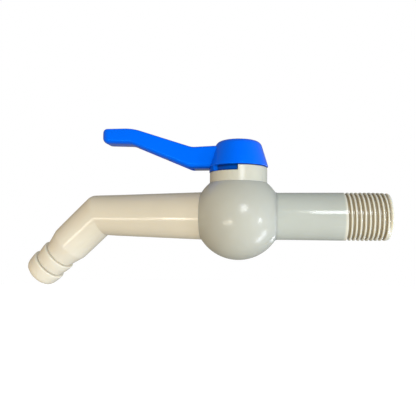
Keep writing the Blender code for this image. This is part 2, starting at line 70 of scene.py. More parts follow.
# ---- places taken from the frame
STEM_LOW, STEM_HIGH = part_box("stem")
BALL = Vector(((STEM_LOW.x + STEM_HIGH.x) / 2, 0.0, 0.0))
AT_BALL = Matrix.Translation(BALL)
HOUSING_LOW, HOUSING_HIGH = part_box("ball_housing")
BODY_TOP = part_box("valve_body")[1].z
INLET_END = -BALL.x             # ball centre to the inlet's threaded end
LEVER_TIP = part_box("handle")[0].x - BALL.x

# ---- casing, from the ball's centre
BARREL_R = 13.0 * MM
BARREL_HALF = 11.0 * MM
CAVITY_R = 11.4 * MM            # room for the ball and seats
FLANGE_R = 12.0 * MM            # flange of each end piece, which the housing grips
FLANGE_IN = 12.4 * MM
FLANGE_OUT = 13.9 * MM
SPIGOT_R = 11.1 * MM            # spigot of each end piece, which holds a seat in its pocket
SPIGOT_END = 6.6 * MM
POCKET_R = 9.6 * MM
POCKET_END = 12.75 * MM

TOWER_FOOT = 11.0 * MM          # neck, and the way for the stem down its middle
NECK_LOW = 19.3 * MM            # rim where the handle's tab travels
STOP_X = 0.6 * MM               # plane of the two stop faces
RIM_IN = 10.9 * MM
RIM_FLOOR = 16.6 * MM
GLAND_R = 7.6 * MM
GLAND_TOP = 19.0 * MM
STEM_HOLE_R = 4.5 * MM
COLLAR_ROOM_R = 5.6 * MM
COLLAR_ROOM_TOP = 14.6 * MM
COLLAR_ROOM_FOOT = 8.0 * MM

INLET_BORE = 7.4 * MM           # inlet
NOSE = 1.6 * MM                 # this length and the next three run back from the threaded end
TAPER_START = 8.2 * MM
THREAD_BACK = 20.2 * MM
FIRST_GROOVE = 18.99 * MM       # first groove's middle on the underside
TAPER = 0.2 * MM                # lost by the crests' radius over the next length
TAPER_LENGTH = 6.3 * MM
THREAD_TURNS = 10
THREAD_RINGS = 180              # rings of points along the threaded stretch
GROOVE_FLAT = 0.28 * MM         # half width of a groove's floor
GROOVE_EDGE = 0.70 * MM         # half width of its mouth
THREAD_PAINT_BACK, SHADE_FRONT = -19.5 * MM, -0.8 * MM          # stretch of the pipe's axis with painted shade in the thread's roots
SHADE_ROOT_R, SHADE_CREST_R = 9.7 * MM, 10.3 * MM            # radii where the painted shade is full, and none

SPOUT_PARALLEL = 17 * MM        # ball centre to where the spout's taper starts
SPOUT_BORE = 6.8 * MM
NOZZLE_BORE = 5.6 * MM
NOZZLE_LENGTH = 42.4 * MM       # bend to the nozzle's end
BARB_GROOVE_R = 6.7 * MM
BEND_SPREAD = 9.0 * MM          # length each side of the bend over which its rings lean
BEND_RINGS = (0.1, 0.2, 0.32, 0.5, 0.7, 0.95, 1.25, 1.6, 2.0, 2.6, 3.4, 4.5, 6.0, 7.5, 9.0)

# ---- handle, from the ball's centre
HUB_BASE = 22.0 * MM
HUB_TOP = 33.7 * MM
HUB_SLOPE = 0.325               # radius lost for each unit of height
HUB_FILLET = 3.2 * MM
HUB_WALL = 2.2 * MM
HOLLOW_TOP = 31.0 * MM          # roof of the hollow under the hub
POST_R = 7.6 * MM               # post in the hollow, with a square socket for the stem
POST_FOOT = 20.6 * MM
SOCKET_HALF = 3.3 * MM
SOCKET_TOP = 26.8 * MM
SCREW_WAY_R = 1.9 * MM
WELL_R = 6.0 * MM               # well for the screw, which the cover closes
WELL_FLOOR = 28.6 * MM
COVER_R = 5.75 * MM
COVER_FOOT = 32.0 * MM
TAB_OUT = 11.5 * MM             # stop tab, recessed behind the hub's rim
TAB_END_R = 13.2 * MM           # its thicker end below the lever
TAB_END_Y = -8.0 * MM
LEVER_ROOT = -9.0 * MM
TIP_LENGTH = 3.5 * MM           # rounded stretch of the lever's tip
TOP_LINE = [(-70 * MM, 40.05 * MM, 0.0), (-48.7 * MM, 40.05 * MM, 25 * MM),
            (-20.9 * MM, 30.95 * MM, 8 * MM), (0.0, 31.75 * MM, 0.0)]
BOTTOM_LINE = [(-70 * MM, 33.65 * MM, 0.0), (-49.5 * MM, 32.85 * MM, 7 * MM),
               (-21.5 * MM, 21.15 * MM, 4 * MM), (0.0, 21.15 * MM, 0.0)]
POCKETS = ((-46.5 * MM, -34.2 * MM), (-32.4 * MM, -20.0 * MM))
POCKET_HALF = 2.7 * MM

# ---- studio
FLOOR_Z = -0.5                  # well below the tap, which hangs by its thread
CAMERA_PLACE = Vector((12.4135, -193.6105, -6.7095)) * MM      # from the ball's centre
CAMERA_YAW, CAMERA_PITCH, CAMERA_ROLL = 0.1345, 0.0527, 0.0105
CAMERA_LENS = 37.09             # mm, on a sensor 36 mm wide
LIGHTS = (                      # name, azimuth, elevation, distance, width, height, watts, colour
    ("window_light", 18, 17.5, 0.45, 0.12, 0.12, 0.54, "#F4F8FF"),
    ("low_left_light", -17, -16.5, 0.7, 0.04, 0.07, 0.46, "#FFF4E4"),
    ("far_left_light", -29, -19, 0.7, 0.14, 0.06, 0.36, "#FFF4E4"),
    ("right_light", 61, -11, 0.7, 0.04, 0.10, 0.55, "#F2F6FF"),
    ("low_right_light", 89, -41, 0.6, 0.12, 0.30, 0.9, "#F2F6FF"),
    ("rim_light", 142, -14, 0.6, 0.05, 0.24, 0.3, "#F2F6FF"),
)


def linear(code):
    """Scene-linear colour of an sRGB hex value."""
    parts = [int(code[i:i + 2], 16) / 255 for i in (1, 3, 5)]
    return tuple(c / 12.92 if c <= 0.04045 else ((c + 0.055) / 1.055) ** 2.4 for c in parts)


def length(name, description, default):
    return FloatProperty(name=name, description=description, default=default, min=0.0,
                         subtype="DISTANCE", unit="LENGTH", precision=5)


def colour(name, description, code):
    return FloatVectorProperty(name=name, description=description, default=linear(code),
                               size=3, min=0.0, max=1.0, subtype="COLOR")


# ---- settings
class ValveSizes(bpy.types.PropertyGroup):
    housing_radius: length("Housing radius", "Round housing",
                           (HOUSING_HIGH.y - HOUSING_LOW.y) / 2)
    inlet_fillet: length("Inlet fillet", "Housing's fillet against the inlet tube", 1.5 * MM)
    spout_fillet: length("Spout fillet", "Housing's fillet against the spout", 0.35 * MM)
    tube_radius: length("Inlet tube radius", "Inlet tube, and the crests of its thread", 10.4775 * MM)
    thread_pitch: length("Thread pitch", "One turn of the pipe thread", 1.814 * MM)
    thread_depth: length("Thread depth", "Crest to root of the pipe thread", 0.95 * MM)
    spout_root: length("Spout root radius", "Spout tube where it leaves the housing", 10.77 * MM)
    spout_bend: length("Spout bend radius", "Spout tube at its bend", 9.25 * MM)
    bend_reach: length("Bend reach", "Stem axis to the spout's bend", 65.2 * MM)
    bend_drop: FloatProperty(name="Bend drop", description="Nozzle's axis below the pipe's axis",
                             default=math.radians(42.4), subtype="ANGLE", unit="ROTATION")
    bend_twist: FloatProperty(name="Bend twist",
                              description="Turn of the nozzle about the pipe's axis",
                              default=math.radians(8.0), subtype="ANGLE", unit="ROTATION")
    neck_radius: length("Neck radius", "Valve body's neck above the housing", 12.95 * MM)
    lever_width: length("Lever width", "Width of the lever's bar", 11.0 * MM)
    lever_edge: length("Lever top edge", "Rounding along the lever's upper edges", 1.2 * MM)
    lever_belly: length("Lever lower edge", "Rounding along the lever's lower edges", 2.6 * MM)
    hub_radius: length("Hub radius", "Handle's hub at its base", 13.35 * MM)
    sides: IntProperty(name="Sides", description="Steps round each turned piece", default=128, min=24)


class ValveColours(bpy.types.PropertyGroup):
    housing: colour("Housing", "Grey polypropylene of the round housing", "#B7B6AA")
    pipe: colour("Inlet", "Cooler grey polypropylene of the inlet tube", "#B9BDB5")
    ivory: colour("Spout", "Ivory polypropylene of the spout and nozzle", "#CFC4AE")
    nozzle: colour("Nozzle", "Paler ivory where the spout's moulding ends", "#E4DDCD")
    neck: colour("Body", "Paler ivory of the valve body, which shows at the neck", "#C5C2B2")
    # Painted shade: this brown stands in for the shade deep in the thread's roots.
    groove: colour("Thread roots", "Brown film left in the roots of the thread", "#928364")
    # Painted light: this pale, warm tone over the threaded stretch stands in for light on the thread's
    # crests.
    thread_light: colour("Thread crests", "Rubbed crests of the thread", "#E8E2D0")
    handle: colour("Handle", "Blue ABS of the lever and hub", "#005FEA")
    # Painted shade: this dark navy stands in for the shade on the stop tab under the hub's rim.
    tab_shade: colour("Grease", "Seal grease on the handle's stop tab", "#001F5C")
    floor: colour("Floor", "Pale studio floor", "#F4F4F2")


# ---- modelling helpers
def select_only(obj):
    bpy.ops.object.select_all(action="DESELECT")
    obj.select_set(True)
    bpy.context.view_layer.objects.active = obj


def named(name):
    obj = bpy.context.active_object
    obj.name = name
    obj.data.name = name
    return obj


def rounded(corners, steps=6, closed=True):
    """Outline through (x, y, corner radius) points, with an arc at each rounded corner."""
    outline = []
    count = len(corners)
    for i, (x, y, radius) in enumerate(corners):
        here = Vector((x, y))
        end = not closed and i in (0, count - 1)
        if radius == 0.0 or end:
            outline.append(here)
            continue
        before = (Vector(corners[i - 1][:2]) - here).normalized()
        after = (Vector(corners[(i + 1) % count][:2]) - here).normalized()
        half = before.angle(after) / 2
        hub = here + (before + after).normalized() * radius / math.sin(half)
        first = here + before * radius / math.tan(half) - hub
        last = here + after * radius / math.tan(half) - hub
        sweep = first.angle_signed(last)
        for k in range(steps + 1):
            outline.append(hub + Matrix.Rotation(-sweep * k / steps, 2) @ first)
    return [(point.x, point.y) for point in outline]


def arc(centre, radius, start, end, count):
    """Points of an arc, its angles in degrees and both its ends included."""
    angles = [math.radians(start + (end - start) * i / count) for i in range(count + 1)]
    return [(centre[0] + radius * math.cos(a), centre[1] + radius * math.sin(a)) for a in angles]


def lathe(name, profile):
    """Draw a (radius, height) profile point by point and spin it about its own Z.

    A profile that starts on the axis ends on it too. Any other one is closed into a loop.
    """
    bpy.ops.mesh.primitive_plane_add(size=MM)
    obj = named(name)
    bpy.ops.object.mode_set(mode="EDIT")
    bpy.ops.mesh.select_mode(type="VERT")
    bpy.ops.mesh.select_all(action="SELECT")
    bpy.ops.mesh.merge(type="CENTER")
    points = [Vector((radius, 0.0, height)) for radius, height in profile]
    if profile[0][0] > 0.0:
        points.append(points[0])
    bpy.ops.transform.translate(value=points[0])
    for here, there in zip(points, points[1:]):
        bpy.ops.mesh.extrude_vertices_move(TRANSFORM_OT_translate={"value": there - here})
    bpy.ops.mesh.select_all(action="SELECT")
    bpy.ops.mesh.spin(steps=bpy.context.scene.valve_sizes.sides, angle=2 * math.pi,
                      center=(0.0, 0.0, 0.0), axis=(0.0, 0.0, 1.0))
    close_up()
    bpy.ops.object.mode_set(mode="OBJECT")
    return obj


def close_up():
    """Weld the mesh being edited and turn its faces outwards."""
    bpy.ops.mesh.select_all(action="SELECT")
    bpy.ops.mesh.remove_doubles(threshold=WELD)
    bpy.ops.mesh.normals_make_consistent(inside=False)


def put(obj, matrix):
    """Place a piece and keep the place in its mesh."""
    obj.matrix_world = matrix
    select_only(obj)
    bpy.ops.object.transform_apply()
    return obj


def block(name, low, high):
    """Box between two corners."""
    size = [b - a for a, b in zip(low, high)]
    centre = [(a + b) / 2 for a, b in zip(low, high)]
    bpy.ops.mesh.primitive_cube_add(size=1.0, location=centre, scale=size)
    obj = named(name)
    bpy.ops.object.transform_apply()
    return obj


def apply_modifier(obj, kind, **settings):
    select_only(obj)
    modifier = obj.modifiers.new(kind.title(), kind)
    for key, value in settings.items():
        setattr(modifier, key, value)
    bpy.ops.object.modifier_apply(modifier=modifier.name)


def combine(obj, other, operation="DIFFERENCE"):
    """Cut a piece with another, or join them, and remove the other."""
    apply_modifier(obj, "BOOLEAN", operation=operation, solver="EXACT", object=other)
    select_only(other)
    bpy.ops.object.delete()


def bevel_edges(obj, wanted, width):
    """Bevel the sharp edges whose two ends both satisfy a test of place."""
    select_only(obj)
    bpy.ops.object.mode_set(mode="EDIT")
    bpy.ops.mesh.select_mode(type="EDGE")
    bpy.ops.mesh.select_all(action="DESELECT")
    bpy.ops.mesh.edges_select_sharp(sharpness=math.radians(25))
    bpy.ops.object.mode_set(mode="OBJECT")
    spots = obj.data.vertices
    for edge in obj.data.edges:
        edge.select = edge.select and all(wanted(spots[i].co) for i in edge.vertices)
    bpy.ops.object.mode_set(mode="EDIT")
    bpy.ops.mesh.bevel(offset=width, segments=3, affect="EDGES", clamp_overlap=True)
    bpy.ops.object.mode_set(mode="OBJECT")


def finish_piece(obj, finish, body, node, smooth=35):
    """Shade a finished piece, give it its finish and let it stand for its CAD node."""
    select_only(obj)
    bpy.ops.object.shade_smooth_by_angle(angle=math.radians(smooth))
    obj.data.materials.clear()
    obj.data.materials.append(bpy.data.materials[finish])
    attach(obj, body)
    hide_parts(node)


# ---- materials
def add_node(tree, kind, links=(), stops=(), **settings):
    """Add a node with its settings and links and, for a colour ramp, its stops.

    Links are (input, source) pairs. An input is a name or a number, and a source is a socket,
    or a node that gives its first output. Settings are the node's own or its inputs'. Stops
    are (place, colour) pairs, from 0 to 1.
    """
    node = tree.nodes.new("ShaderNode" + kind)
    for key, value in settings.items():
        if hasattr(node, key):
            setattr(node, key, value)
        else:
            node.inputs[key.replace("_", " ").title()].default_value = value
    for key, source in links:
        socket = source.outputs[0] if isinstance(source, bpy.types.Node) else source
        tree.links.new(node.inputs[key], socket)
    for place, tone in stops:
        ends = [element for element in node.color_ramp.elements if element.position == place]
        element = ends[0] if ends else node.color_ramp.elements.new(place)
        element.color = (*tone, 1.0)
    return node


def new_material(name):
    material = bpy.data.materials.new(name)
    material.use_nodes = True
    tree = material.node_tree
    spot = add_node(tree, "TexCoord").outputs["Object"]
    return material, tree, tree.nodes["Principled BSDF"], spot


def moulded_plastic(name, base, rough, mottle=0.05, mottle_mm=18.0, grain=0.05, soft=0.0, soft_mm=2.0):
    """Injection-moulded thermoplastic.

    Slow mottling follows the melt's flow, a fine skin breaks up the gloss, and shallow
    hollows show where thick walls have sunk while cooling. A soft plastic lets light into
    its skin, which takes the hardness off its shading.
    """
    material, tree, shader, spot = new_material(name)
    flow = add_node(tree, "TexNoise", [("Vector", spot)], scale=1 / (mottle_mm * MM), detail=2.0,
                    roughness=0.45)
    shade = add_node(tree, "MapRange", [("Value", flow)], from_min=0.2, from_max=0.8,
                     to_min=1.0 - mottle, to_max=1.0 + mottle)
    tint = add_node(tree, "VectorMath", [("Scale", shade)], operation="SCALE")
    tint.inputs[0].default_value = base
    tree.links.new(shader.inputs["Base Color"], tint.outputs["Vector"])
    gloss = add_node(tree, "MapRange", [("Value", flow)], from_min=0.2, from_max=0.8,
                     to_min=rough - 0.025, to_max=rough + 0.025)
    tree.links.new(shader.inputs["Roughness"], gloss.outputs["Result"])
    skin = add_node(tree, "TexNoise", [("Vector", spot)], scale=1 / (0.5 * MM), detail=3.0, roughness=0.6)
    sink = add_node(tree, "TexNoise", [("Vector", spot)], scale=1 / (7.0 * MM), detail=1.0)
    hollow = add_node(tree, "Bump", [("Height", sink)], strength=0.10, distance=0.25 * MM)
    bump = add_node(tree, "Bump", [("Height", skin), ("Normal", hollow)], strength=grain,
                    distance=0.10 * MM)
    tree.links.new(shader.inputs["Normal"], bump.outputs["Normal"])
    shader.inputs["IOR"].default_value = 1.49
    if soft:
        shader.inputs["Subsurface Weight"].default_value = soft
        shader.inputs["Subsurface Radius"].default_value = (1.0, 0.85, 0.6)
        shader.inputs["Subsurface Scale"].default_value = soft_mm * MM
    return material


def overlay(material, tone, amount):
    """Lay a second colour over a material's own, by an amount from 0 to 1."""
    tree = material.node_tree
    base = tree.nodes["Principled BSDF"].inputs["Base Color"]
    own = base.links[0].from_socket
    # The colour sockets of this node share their names with others, so they go by number.
    both = add_node(tree, "Mix", [(0, amount), (6, own)], data_type="RGBA")
    both.inputs[7].default_value = (*tone, 1.0)
    tree.links.new(base, both.outputs[2])


def painted_thread_light_and_shade(material, tone, thread_light):
    """Painted shade in the roots of the moulded thread, which is what makes them brown.

    It fades out from the root outwards, by the distance from the pipe's axis. Over the
    whole threaded stretch a paler, warmer tone is painted light, for the light on the crests.
    """
    tree = material.node_tree
    spot = add_node(tree, "TexCoord").outputs["Object"]
    parts = add_node(tree, "SeparateXYZ", [("Vector", spot)])
    across = add_node(tree, "CombineXYZ", [("X", parts.outputs["Y"]), ("Y", parts.outputs["Z"])])
    away = add_node(tree, "VectorMath", [(0, across)], operation="LENGTH")
    # Painted light: a paler, warmer tone over the whole threaded stretch, for light on the crests.
    painted_light = add_node(tree, "MapRange", [("Value", parts.outputs["X"])], from_min=THREAD_PAINT_BACK,
                      from_max=THREAD_PAINT_BACK + MM, to_max=0.7)
    overlay(material, thread_light, painted_light)
    threaded = add_node(tree, "MapRange", [("Value", parts.outputs["X"])], from_min=THREAD_PAINT_BACK,
                        from_max=THREAD_PAINT_BACK + MM)
    short = add_node(tree, "MapRange", [("Value", parts.outputs["X"])], from_min=SHADE_FRONT - 0.7 * MM,
                     from_max=SHADE_FRONT, to_min=1.0, to_max=0.0)
    # Painted shade: darkest at the roots, fading out towards the crests.
    deep = add_node(tree, "MapRange", [("Value", away.outputs["Value"])], from_min=SHADE_ROOT_R,
                    from_max=SHADE_CREST_R, to_min=0.9, to_max=0.0, interpolation_type="SMOOTHSTEP")
    outside = add_node(tree, "Math", [(0, away.outputs["Value"])], operation="GREATER_THAN")
    outside.inputs[1].default_value = SHADE_ROOT_R - 0.5 * MM
    amount = deep
    for limit in (outside, threaded, short):
        amount = add_node(tree, "Math", [(0, amount), (1, limit)], operation="MULTIPLY")
    overlay(material, tone, amount)


def painted_shade_under_hub(material, tone):
    """Painted shade on the stop tab, darkest against the hub's rim and the neck's."""
    tree = material.node_tree
    spot = add_node(tree, "TexCoord").outputs["Object"]
    parts = add_node(tree, "SeparateXYZ", [("Vector", spot)])
    # Painted shade: darkest under the hub's rim and just above the neck's rim, lighter between, and
    # strongest deep in the recess.
    height = add_node(tree, "MapRange", [("Value", parts.outputs["Z"])], from_min=NECK_LOW + CLEAR,
                      from_max=HUB_BASE)
    shares = ((0.0, 0.95), (0.22, 0.62), (0.55, 0.62), (0.8, 0.92), (0.97, 0.92), (1.0, 0.0))
    layer = add_node(tree, "ValToRGB", [("Fac", height)],
                     stops=[(place, (share,) * 3) for place, share in shares])
    offset = add_node(tree, "VectorMath", [(0, spot)], operation="SUBTRACT")
    offset.inputs[1].default_value = BALL
    flat = add_node(tree, "VectorMath", [(0, offset)], operation="MULTIPLY")
    flat.inputs[1].default_value = (1.0, 1.0, 0.0)
    away = add_node(tree, "VectorMath", [(0, flat)], operation="LENGTH")
    behind_rim = add_node(tree, "MapRange", [("Value", away.outputs["Value"])],
                          from_min=TAB_OUT + 0.1 * MM, from_max=TAB_OUT + 0.6 * MM, to_min=1.0,
                          to_max=0.35)
    amount = add_node(tree, "Math", [(0, layer), (1, behind_rim)], operation="MULTIPLY")
    overlay(material, tone, amount)


def paler_nozzle(material, tone, bend_x):
    """Gate end of the spout's moulding, where the ivory comes out paler and less yellow."""
    tree = material.node_tree
    spot = add_node(tree, "TexCoord").outputs["Object"]
    parts = add_node(tree, "SeparateXYZ", [("Vector", spot)])
    share = add_node(tree, "MapRange", [("Value", parts.outputs["X"])], from_min=bend_x - 14 * MM,
                     from_max=bend_x + 4 * MM, to_min=0.55, to_max=0.0, interpolation_type="SMOOTHSTEP")
    overlay(material, tone, share)


def rubber():
    """Moulded nitrile rubber: near-black, with a dull bloom in patches and a fine matt skin."""
    material, tree, shader, spot = new_material("seal_nitrile")
    bloom = add_node(tree, "TexNoise", [("Vector", spot)], scale=1 / (3.0 * MM), detail=3.0)
    tone = add_node(tree, "ValToRGB", [("Fac", bloom)],
                    stops=[(0.0, linear("#151516")), (1.0, linear("#2B2B2C"))])
    tree.links.new(shader.inputs["Base Color"], tone.outputs["Color"])
    skin = add_node(tree, "TexNoise", [("Vector", spot)], scale=1 / (0.15 * MM), detail=2.0)
    bump = add_node(tree, "Bump", [("Height", skin)], strength=0.25, distance=0.02 * MM)
    tree.links.new(shader.inputs["Normal"], bump.outputs["Normal"])
    shader.inputs["Roughness"].default_value = 0.62
    shader.inputs["IOR"].default_value = 1.52
    return material


def turned_steel():
    """Zinc-plated turned steel: fine rings left by turning, and a cloudy plating.

    The rings are drawn 0.75 mm apart, coarser than real ones, so that they show.
    """
    material, tree, shader, spot = new_material("screw_zinc_steel")
    centred = add_node(tree, "Mapping", [("Vector", spot)], vector_type="POINT")
    centred.inputs["Location"].default_value = -BALL
    rings = add_node(tree, "TexWave", [("Vector", centred)], wave_type="RINGS", rings_direction="Z",
                     scale=2 * math.pi / (20 * 0.754 * MM), distortion=0.4, detail=1.0)
    bump = add_node(tree, "Bump", [("Height", rings.outputs["Fac"])], strength=0.15, distance=0.01 * MM)
    tree.links.new(shader.inputs["Normal"], bump.outputs["Normal"])
    cloud = add_node(tree, "TexNoise", [("Vector", spot)], scale=1 / (1.5 * MM), detail=4.0)
    tone = add_node(tree, "ValToRGB", [("Fac", cloud)],
                    stops=[(0.0, linear("#B9BCC2")), (1.0, linear("#D6D8DB"))])
    tree.links.new(shader.inputs["Base Color"], tone.outputs["Color"])
    gloss = add_node(tree, "MapRange", [("Value", cloud)], to_min=0.22, to_max=0.38)
    tree.links.new(shader.inputs["Roughness"], gloss.outputs["Result"])
    shader.inputs["Metallic"].default_value = 1.0
    return material


def floor_paper(code):
    """Matt backdrop paper: a faint fibre, lit from within so that it stays evenly pale."""
    material, tree, shader, spot = new_material("studio_floor_paper")
    fibre = add_node(tree, "TexNoise", [("Vector", spot)], scale=1 / (2.5 * MM), detail=4.0)
    tone = add_node(tree, "ValToRGB", [("Fac", fibre)], stops=[(0.0, linear("#F1F1EF")), (1.0, code)])
    tree.links.new(shader.inputs["Base Color"], tone.outputs["Color"])
    shader.inputs["Roughness"].default_value = 0.9
    shader.inputs["Emission Color"].default_value = (1.0, 1.0, 1.0, 1.0)
    shader.inputs["Emission Strength"].default_value = 0.75
    return material


# ---- casing
def fillet_onto_tube(ball_r, tube_r, fillet, side):
    """Arc from the housing's sphere down to a tube, which the fillet meets edge on."""
    centre_r = tube_r + fillet
    centre_x = math.sqrt((ball_r + fillet) ** 2 - centre_r ** 2)
    from_ball = math.degrees(math.atan2(-centre_r, -centre_x))
    points = arc((centre_x, centre_r), fillet, from_ball, -98.0, 8)
    return [(radius, side * x) for x, radius in points]


class BuildHousing(bpy.types.Operator):
    """Spin the round housing with its fillets, and open it for the neck"""
    bl_idname = "ball_valve.housing"
    bl_label = "Round housing"

    def execute(self, context):
        sizes = context.scene.valve_sizes
        ball_r = sizes.housing_radius
        inlet_side = fillet_onto_tube(ball_r, sizes.tube_radius + HAIRLINE, sizes.inlet_fillet, 1)
        inlet_side.reverse()
        spout_side = fillet_onto_tube(ball_r, sizes.spout_root + HAIRLINE, sizes.spout_fillet, -1)
        start = math.degrees(math.atan2(inlet_side[-1][1], inlet_side[-1][0]))
        end = math.degrees(math.atan2(spout_side[0][1], spout_side[0][0]))
        shell = arc((0.0, 0.0), ball_r, start, end, 56)[1:-1]
        inner = [(spout_side[-1][0], -FLANGE_OUT - CLEAR), (FLANGE_R + CLEAR, -FLANGE_OUT - CLEAR),
                 (FLANGE_R + CLEAR, -FLANGE_IN), (BARREL_R + CLEAR, -FLANGE_IN),
                 (BARREL_R + CLEAR, FLANGE_IN), (FLANGE_R + CLEAR, FLANGE_IN),
                 (FLANGE_R + CLEAR, FLANGE_OUT + CLEAR), (inlet_side[0][0], FLANGE_OUT + CLEAR)]
        housing = lathe("round_housing", inlet_side + shell + spout_side + inner)
        put(housing, AT_BALL @ ALONG_PIPE)
        hole_r = sizes.neck_radius + HAIRLINE
        hole = lathe("neck_hole", [(0.0, ABOVE), (hole_r, ABOVE), (hole_r, TOWER_FOOT - CLEAR),
                                   (0.0, TOWER_FOOT - CLEAR)])
        combine(housing, put(hole, AT_BALL))

        def on_rim(spot):
            away = spot - BALL
            at_hole = away.z > 0 and abs(away.xy.length - hole_r) < 0.05 * MM
            return at_hole and away.length > ball_r - 0.1 * MM

        bevel_edges(housing, on_rim, 0.25 * MM)
        finish_piece(housing, "housing_polypropylene", "casing", "ball_housing")
        return {"FINISHED"}


class BuildBody(bpy.types.Operator):
    """Join the neck to the barrel round the ball, and cut the stops into its rim"""
    bl_idname = "ball_valve.body"
    bl_label = "Neck and barrel"

    def execute(self, context):
        sizes = context.scene.valve_sizes
        body = lathe("neck_and_barrel", [(0.0, BARREL_HALF), (BARREL_R, BARREL_HALF),
                                         (BARREL_R, -BARREL_HALF), (0.0, -BARREL_HALF)])
        put(body, AT_BALL @ ALONG_PIPE)
        neck_r = sizes.neck_radius
        rim = rounded([(0.0, BODY_TOP, 0.0), (neck_r, BODY_TOP, 0.45 * MM), (neck_r, TOWER_FOOT, 0.0),
                       (0.0, TOWER_FOOT, 0.0)], closed=False)
        tower = put(lathe("tower", rim), AT_BALL)
        combine(tower, block("stop_cut", (BALL.x - ASIDE, -ASIDE, NECK_LOW),
                             (BALL.x + STOP_X, ASIDE, ABOVE)))

        def on_step(spot):
            over = spot.z - NECK_LOW
            return over > -0.01 * MM and (over < 0.01 * MM or abs(spot.x - BALL.x - STOP_X) < 0.01 * MM)

        bevel_edges(tower, on_step, 0.4 * MM)
        for side in (1, -1):
            low_x, high_x = sorted((side * (BARREL_HALF - 0.15 * MM), side * ASIDE))
            combine(tower, block("barrel_end", (BALL.x + low_x, -ASIDE, -ASIDE),
                                 (BALL.x + high_x, ASIDE, TOWER_FOOT + 3 * MM)))
        combine(body, tower, "UNION")
        bore = lathe("barrel_bore", [(0.0, ASIDE), (CAVITY_R, ASIDE), (CAVITY_R, -ASIDE), (0.0, -ASIDE)])
        combine(body, put(bore, AT_BALL @ ALONG_PIPE))
        way = rounded([(0.0, ABOVE, 0.0), (RIM_IN, ABOVE, 0.0), (RIM_IN, RIM_FLOOR, 0.4 * MM),
                       (GLAND_R, RIM_FLOOR, 0.4 * MM), (GLAND_R, GLAND_TOP, 0.3 * MM),
                       (STEM_HOLE_R, GLAND_TOP, 0.0), (STEM_HOLE_R, COLLAR_ROOM_TOP, 0.0),
                       (COLLAR_ROOM_R, COLLAR_ROOM_TOP, 0.0), (COLLAR_ROOM_R, COLLAR_ROOM_FOOT, 0.0),
                       (0.0, COLLAR_ROOM_FOOT, 0.0)], closed=False)
        combine(body, put(lathe("stem_way", way), AT_BALL))
        finish_piece(body, "neck_polypropylene", "casing", "valve_body")
        return {"FINISHED"}


def groove_depth(along, angle, pitch):
    """Share of the thread's full depth at a point of the tube.

    The groove is a right-hand helix: its place along the tube moves by one pitch a turn.
    It fades in over half a turn and runs out just before the tube's nose.
    """
    turns = (along - (INLET_END - FIRST_GROOVE)) / pitch - angle / (2 * math.pi)
    nearest = min(max(round(turns), 0), THREAD_TURNS - 1)
    travelled = nearest + angle / (2 * math.pi)
    off = abs(turns - nearest) * pitch
    if off >= GROOVE_EDGE:
        return 0.0
    up_wall = max(off - GROOVE_FLAT, 0.0) / (GROOVE_EDGE - GROOVE_FLAT)
    wall = 0.5 + 0.5 * math.cos(math.pi * up_wall)
    fade_in = min(max((travelled - 0.1) / 0.4, 0.0), 1.0)
    fade_out = min(max((THREAD_TURNS - 0.12 - travelled) / 0.12, 0.0), 1.0)
    return wall * fade_in * fade_out


class BuildInlet(bpy.types.Operator):
    """Spin the inlet tube and press the helical pipe thread into it"""
    bl_idname = "ball_valve.inlet"
    bl_label = "Threaded inlet"

    def execute(self, context):
        sizes = context.scene.valve_sizes
        tube, end = sizes.tube_radius, INLET_END
        start, stop = end - THREAD_BACK, end - NOSE
        threaded = []
        for i in range(THREAD_RINGS + 1):
            along = stop + (start - stop) * i / THREAD_RINGS
            taper = TAPER * max(0.0, along - (end - TAPER_START)) / TAPER_LENGTH
            threaded.append((tube - taper, along))
        nose = rounded([(INLET_BORE, end, 0.0), (tube - 0.45 * MM, end, 1.0 * MM),
                        (tube - 0.22 * MM, stop, 0.0), (tube, start, 0.0)], closed=False, steps=8)
        nose = nose[:-2]
        inner = [(tube, FLANGE_OUT), (FLANGE_R, FLANGE_OUT), (FLANGE_R, FLANGE_IN), (SPIGOT_R, FLANGE_IN),
                 (SPIGOT_R, SPIGOT_END), (POCKET_R, SPIGOT_END), (POCKET_R, POCKET_END),
                 (INLET_BORE, POCKET_END)]
        inlet = lathe("threaded_inlet", nose + threaded + inner)
        put(inlet, AT_BALL @ ALONG_PIPE)
        group = inlet.vertex_groups.new(name="thread")
        for vertex in inlet.data.vertices:
            along = vertex.co.x - BALL.x
            outside = vertex.co.yz.length > tube - 0.4 * MM
            if outside and along > start - MM:
                angle = math.atan2(vertex.co.y, -vertex.co.z) % (2 * math.pi)
                depth = groove_depth(along, angle, sizes.thread_pitch)
                if depth > 0.0:
                    group.add([vertex.index], depth, "REPLACE")
        apply_modifier(inlet, "DISPLACE", direction="NORMAL", mid_level=0.0,
                       strength=-sizes.thread_depth, vertex_group="thread")
        finish_piece(inlet, "inlet_polypropylene", "casing", "inlet_connector", smooth=80)
        return {"FINISHED"}


def barb(rim_s, rim_r, foot_s, foot_r):
    """Outline of a hose barb from its thin end back to its rim, which faces the valve."""
    slope = [(foot_r + (rim_r - foot_r) * math.sin(t * math.pi / 2), foot_s + (rim_s - foot_s) * t)
             for t in (i / 8 for i in range(9))]
    lip = 0.4 * MM
    edge = arc((rim_r - lip, rim_s + lip), lip, 0, -90, 6)
    return [spot for spot in slope if spot[1] > rim_s + lip] + edge


